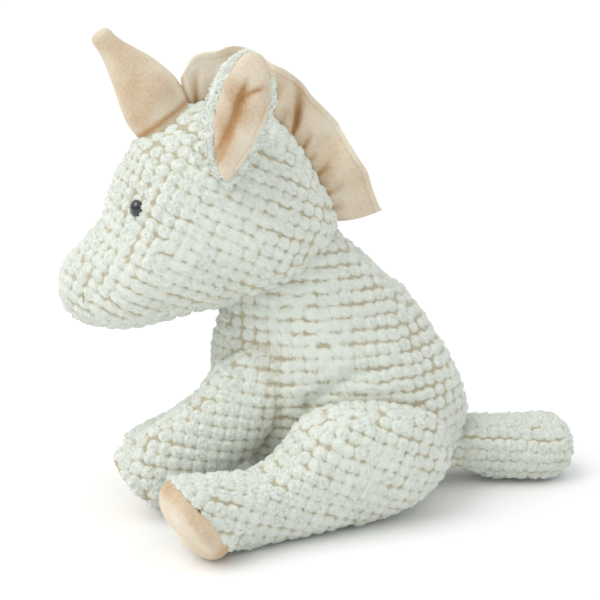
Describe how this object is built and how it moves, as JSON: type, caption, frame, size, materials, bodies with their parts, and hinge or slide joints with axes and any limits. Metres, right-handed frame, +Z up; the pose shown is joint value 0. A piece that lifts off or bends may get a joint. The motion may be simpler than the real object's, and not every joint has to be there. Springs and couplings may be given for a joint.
{
  "type": "plush unicorn",
  "caption": "Seated stuffed toy unicorn with sewn skins over filling, a soft horn, a gathered mane, and a head, ears, legs and tail that flex at their seams.",
  "frame": {"origin": "centre of the footprint, on the surface that the toy sits on", "axes": "+Z up, -Y the way the unicorn faces, +X its left side"},
  "size_m": [0.1936, 0.2619, 0.2332],
  "materials": {
    "terry": "off-white bobbled terry plush with warm dimples between the bobbles",
    "velour": "peach short-pile velour with a soft sheen",
    "filling": "white polyester fibre filling",
    "bag": "plain cotton bag of small pellets",
    "eye": "polished black moulded plastic",
    "washer": "plain moulded plastic locking washer"
  },
  "bodies": {
    "torso": {"torso_skin_left": "terry", "torso_skin_right": "terry", "torso_filling": "filling", "pellet_bag": "bag"},
    "head": {"face_panel_left": "terry", "face_panel_right": "terry", "nape_panel_left": "terry", "nape_panel_right": "terry", "forehead_gusset": "terry", "head_filling": "filling", "eye_left": "eye", "eye_right": "eye", "eye_washer_left": "washer", "eye_washer_right": "washer", "horn_skin": "velour", "horn_filling": "filling", "mane_ply_left": "velour", "mane_ply_right": "velour"},
    "ear_left": {"ear_lining_left": "velour", "ear_back_left": "terry"},
    "ear_right": {"ear_lining_right": "velour", "ear_back_right": "terry"},
    "front_leg_left": {"front_leg_left_skin": "terry", "front_leg_left_filling": "filling", "front_leg_left_sole": "velour"},
    "front_leg_right": {"front_leg_right_skin": "terry", "front_leg_right_filling": "filling", "front_leg_right_sole": "velour"},
    "hind_leg_left": {"hind_leg_left_skin": "terry", "hind_leg_left_filling": "filling", "hind_leg_left_sole": "velour"},
    "hind_leg_right": {"hind_leg_right_skin": "terry", "hind_leg_right_filling": "filling", "hind_leg_right_sole": "velour"},
    "tail": {"tail_skin": "terry", "tail_filling": "filling"}
  },
  "joints": [
    {"name": "neck_nod", "type": "hinge", "parent": "torso", "child": "head", "pos_m": [0, -0.0242, 0.1178], "axis": [1, 0, 0], "range_deg": [-8, 8], "stiffness_Nm_per_rad": 3},
    {"name": "ear_left_flop", "type": "hinge", "parent": "head", "child": "ear_left", "pos_m": [0.0486, -0.048, 0.171], "axis": [0, 1, 0], "range_deg": [-5, 25], "stiffness_Nm_per_rad": 0.06},
    {"name": "ear_right_flop", "type": "hinge", "parent": "head", "child": "ear_right", "pos_m": [-0.0486, -0.048, 0.171], "axis": [0, -1, 0], "range_deg": [-5, 25], "stiffness_Nm_per_rad": 0.06},
    {"name": "front_leg_left_swing", "type": "hinge", "parent": "torso", "child": "front_leg_left", "pos_m": [0.028, -0.042, 0.053], "axis": [-1, 0, 0], "range_deg": [-10, 20], "stiffness_Nm_per_rad": 0.6},
    {"name": "front_leg_right_swing", "type": "hinge", "parent": "torso", "child": "front_leg_right", "pos_m": [-0.028, -0.042, 0.053], "axis": [-1, 0, 0], "range_deg": [-10, 20], "stiffness_Nm_per_rad": 0.6},
    {"name": "hind_leg_left_swing", "type": "hinge", "parent": "torso", "child": "hind_leg_left", "pos_m": [0.041, 0.024, 0.027], "axis": [-1, 0, 0], "range_deg": [-5, 30], "stiffness_Nm_per_rad": 1},
    {"name": "hind_leg_right_swing", "type": "hinge", "parent": "torso", "child": "hind_leg_right", "pos_m": [-0.041, 0.024, 0.027], "axis": [-1, 0, 0], "range_deg": [-5, 30], "stiffness_Nm_per_rad": 1},
    {"name": "tail_wag", "type": "hinge", "parent": "torso", "child": "tail", "pos_m": [0, 0.071, 0.02], "axis": [1, 0, 0], "range_deg": [-15, 20], "stiffness_Nm_per_rad": 0.3}
  ]
}
